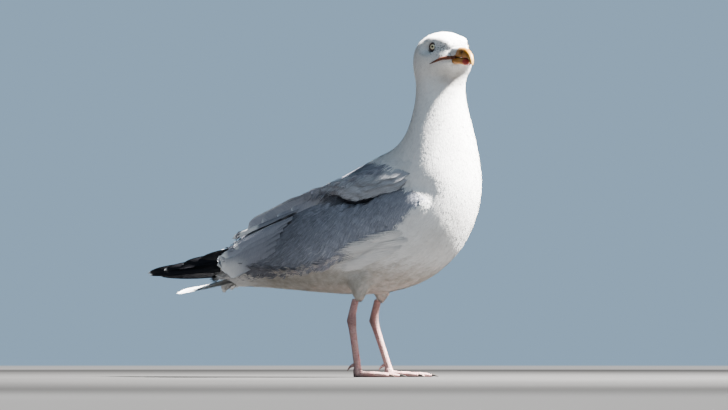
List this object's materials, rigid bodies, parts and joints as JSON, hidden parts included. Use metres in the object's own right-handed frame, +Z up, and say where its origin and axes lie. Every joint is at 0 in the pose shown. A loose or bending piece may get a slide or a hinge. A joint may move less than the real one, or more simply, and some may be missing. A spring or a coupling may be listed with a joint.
{
  "type": "herring gull",
  "caption": "Adult gull standing still on webbed feet, neck upright, head turned to its right, wings folded over the tail, as a life-size model.",
  "frame": {"origin": "on the floor, below the middle of the bird's box", "axes": "+X the way the body faces, +Y to the bird's left, +Z up"},
  "size_m": [0.4964, 0.1418, 0.4357],
  "materials": {
    "white_feather": "soft white plumage",
    "grey_feather": "soft blue-grey plumage",
    "black_feather": "faintly glossy black plumage with white tips",
    "bill": "satin yellow horn with a red spot near the lower tip",
    "eye": "wet pale yellow iris under a clear cornea",
    "leg_skin": "scaly flesh pink skin",
    "claw": "dark horn"
  },
  "bodies": {
    "root": {"trunk": "white_feather", "neck": "white_feather", "head": "white_feather", "tail": "white_feather", "thigh_left": "white_feather", "thigh_right": "white_feather", "wing_left": "grey_feather", "wing_right": "grey_feather", "wing_tip_left": "black_feather", "wing_tip_right": "black_feather", "upper_bill": "bill", "lower_bill": "bill", "eye_left": "eye", "eye_right": "eye", "shank_left": "leg_skin", "shank_right": "leg_skin", "foot_left": "leg_skin", "foot_right": "leg_skin", "hind_toe_left": "leg_skin", "hind_toe_right": "leg_skin", "claw_inner_left": "claw", "claw_inner_right": "claw", "claw_middle_left": "claw", "claw_middle_right": "claw", "claw_outer_left": "claw", "claw_outer_right": "claw"}
  },
  "joints": []
}
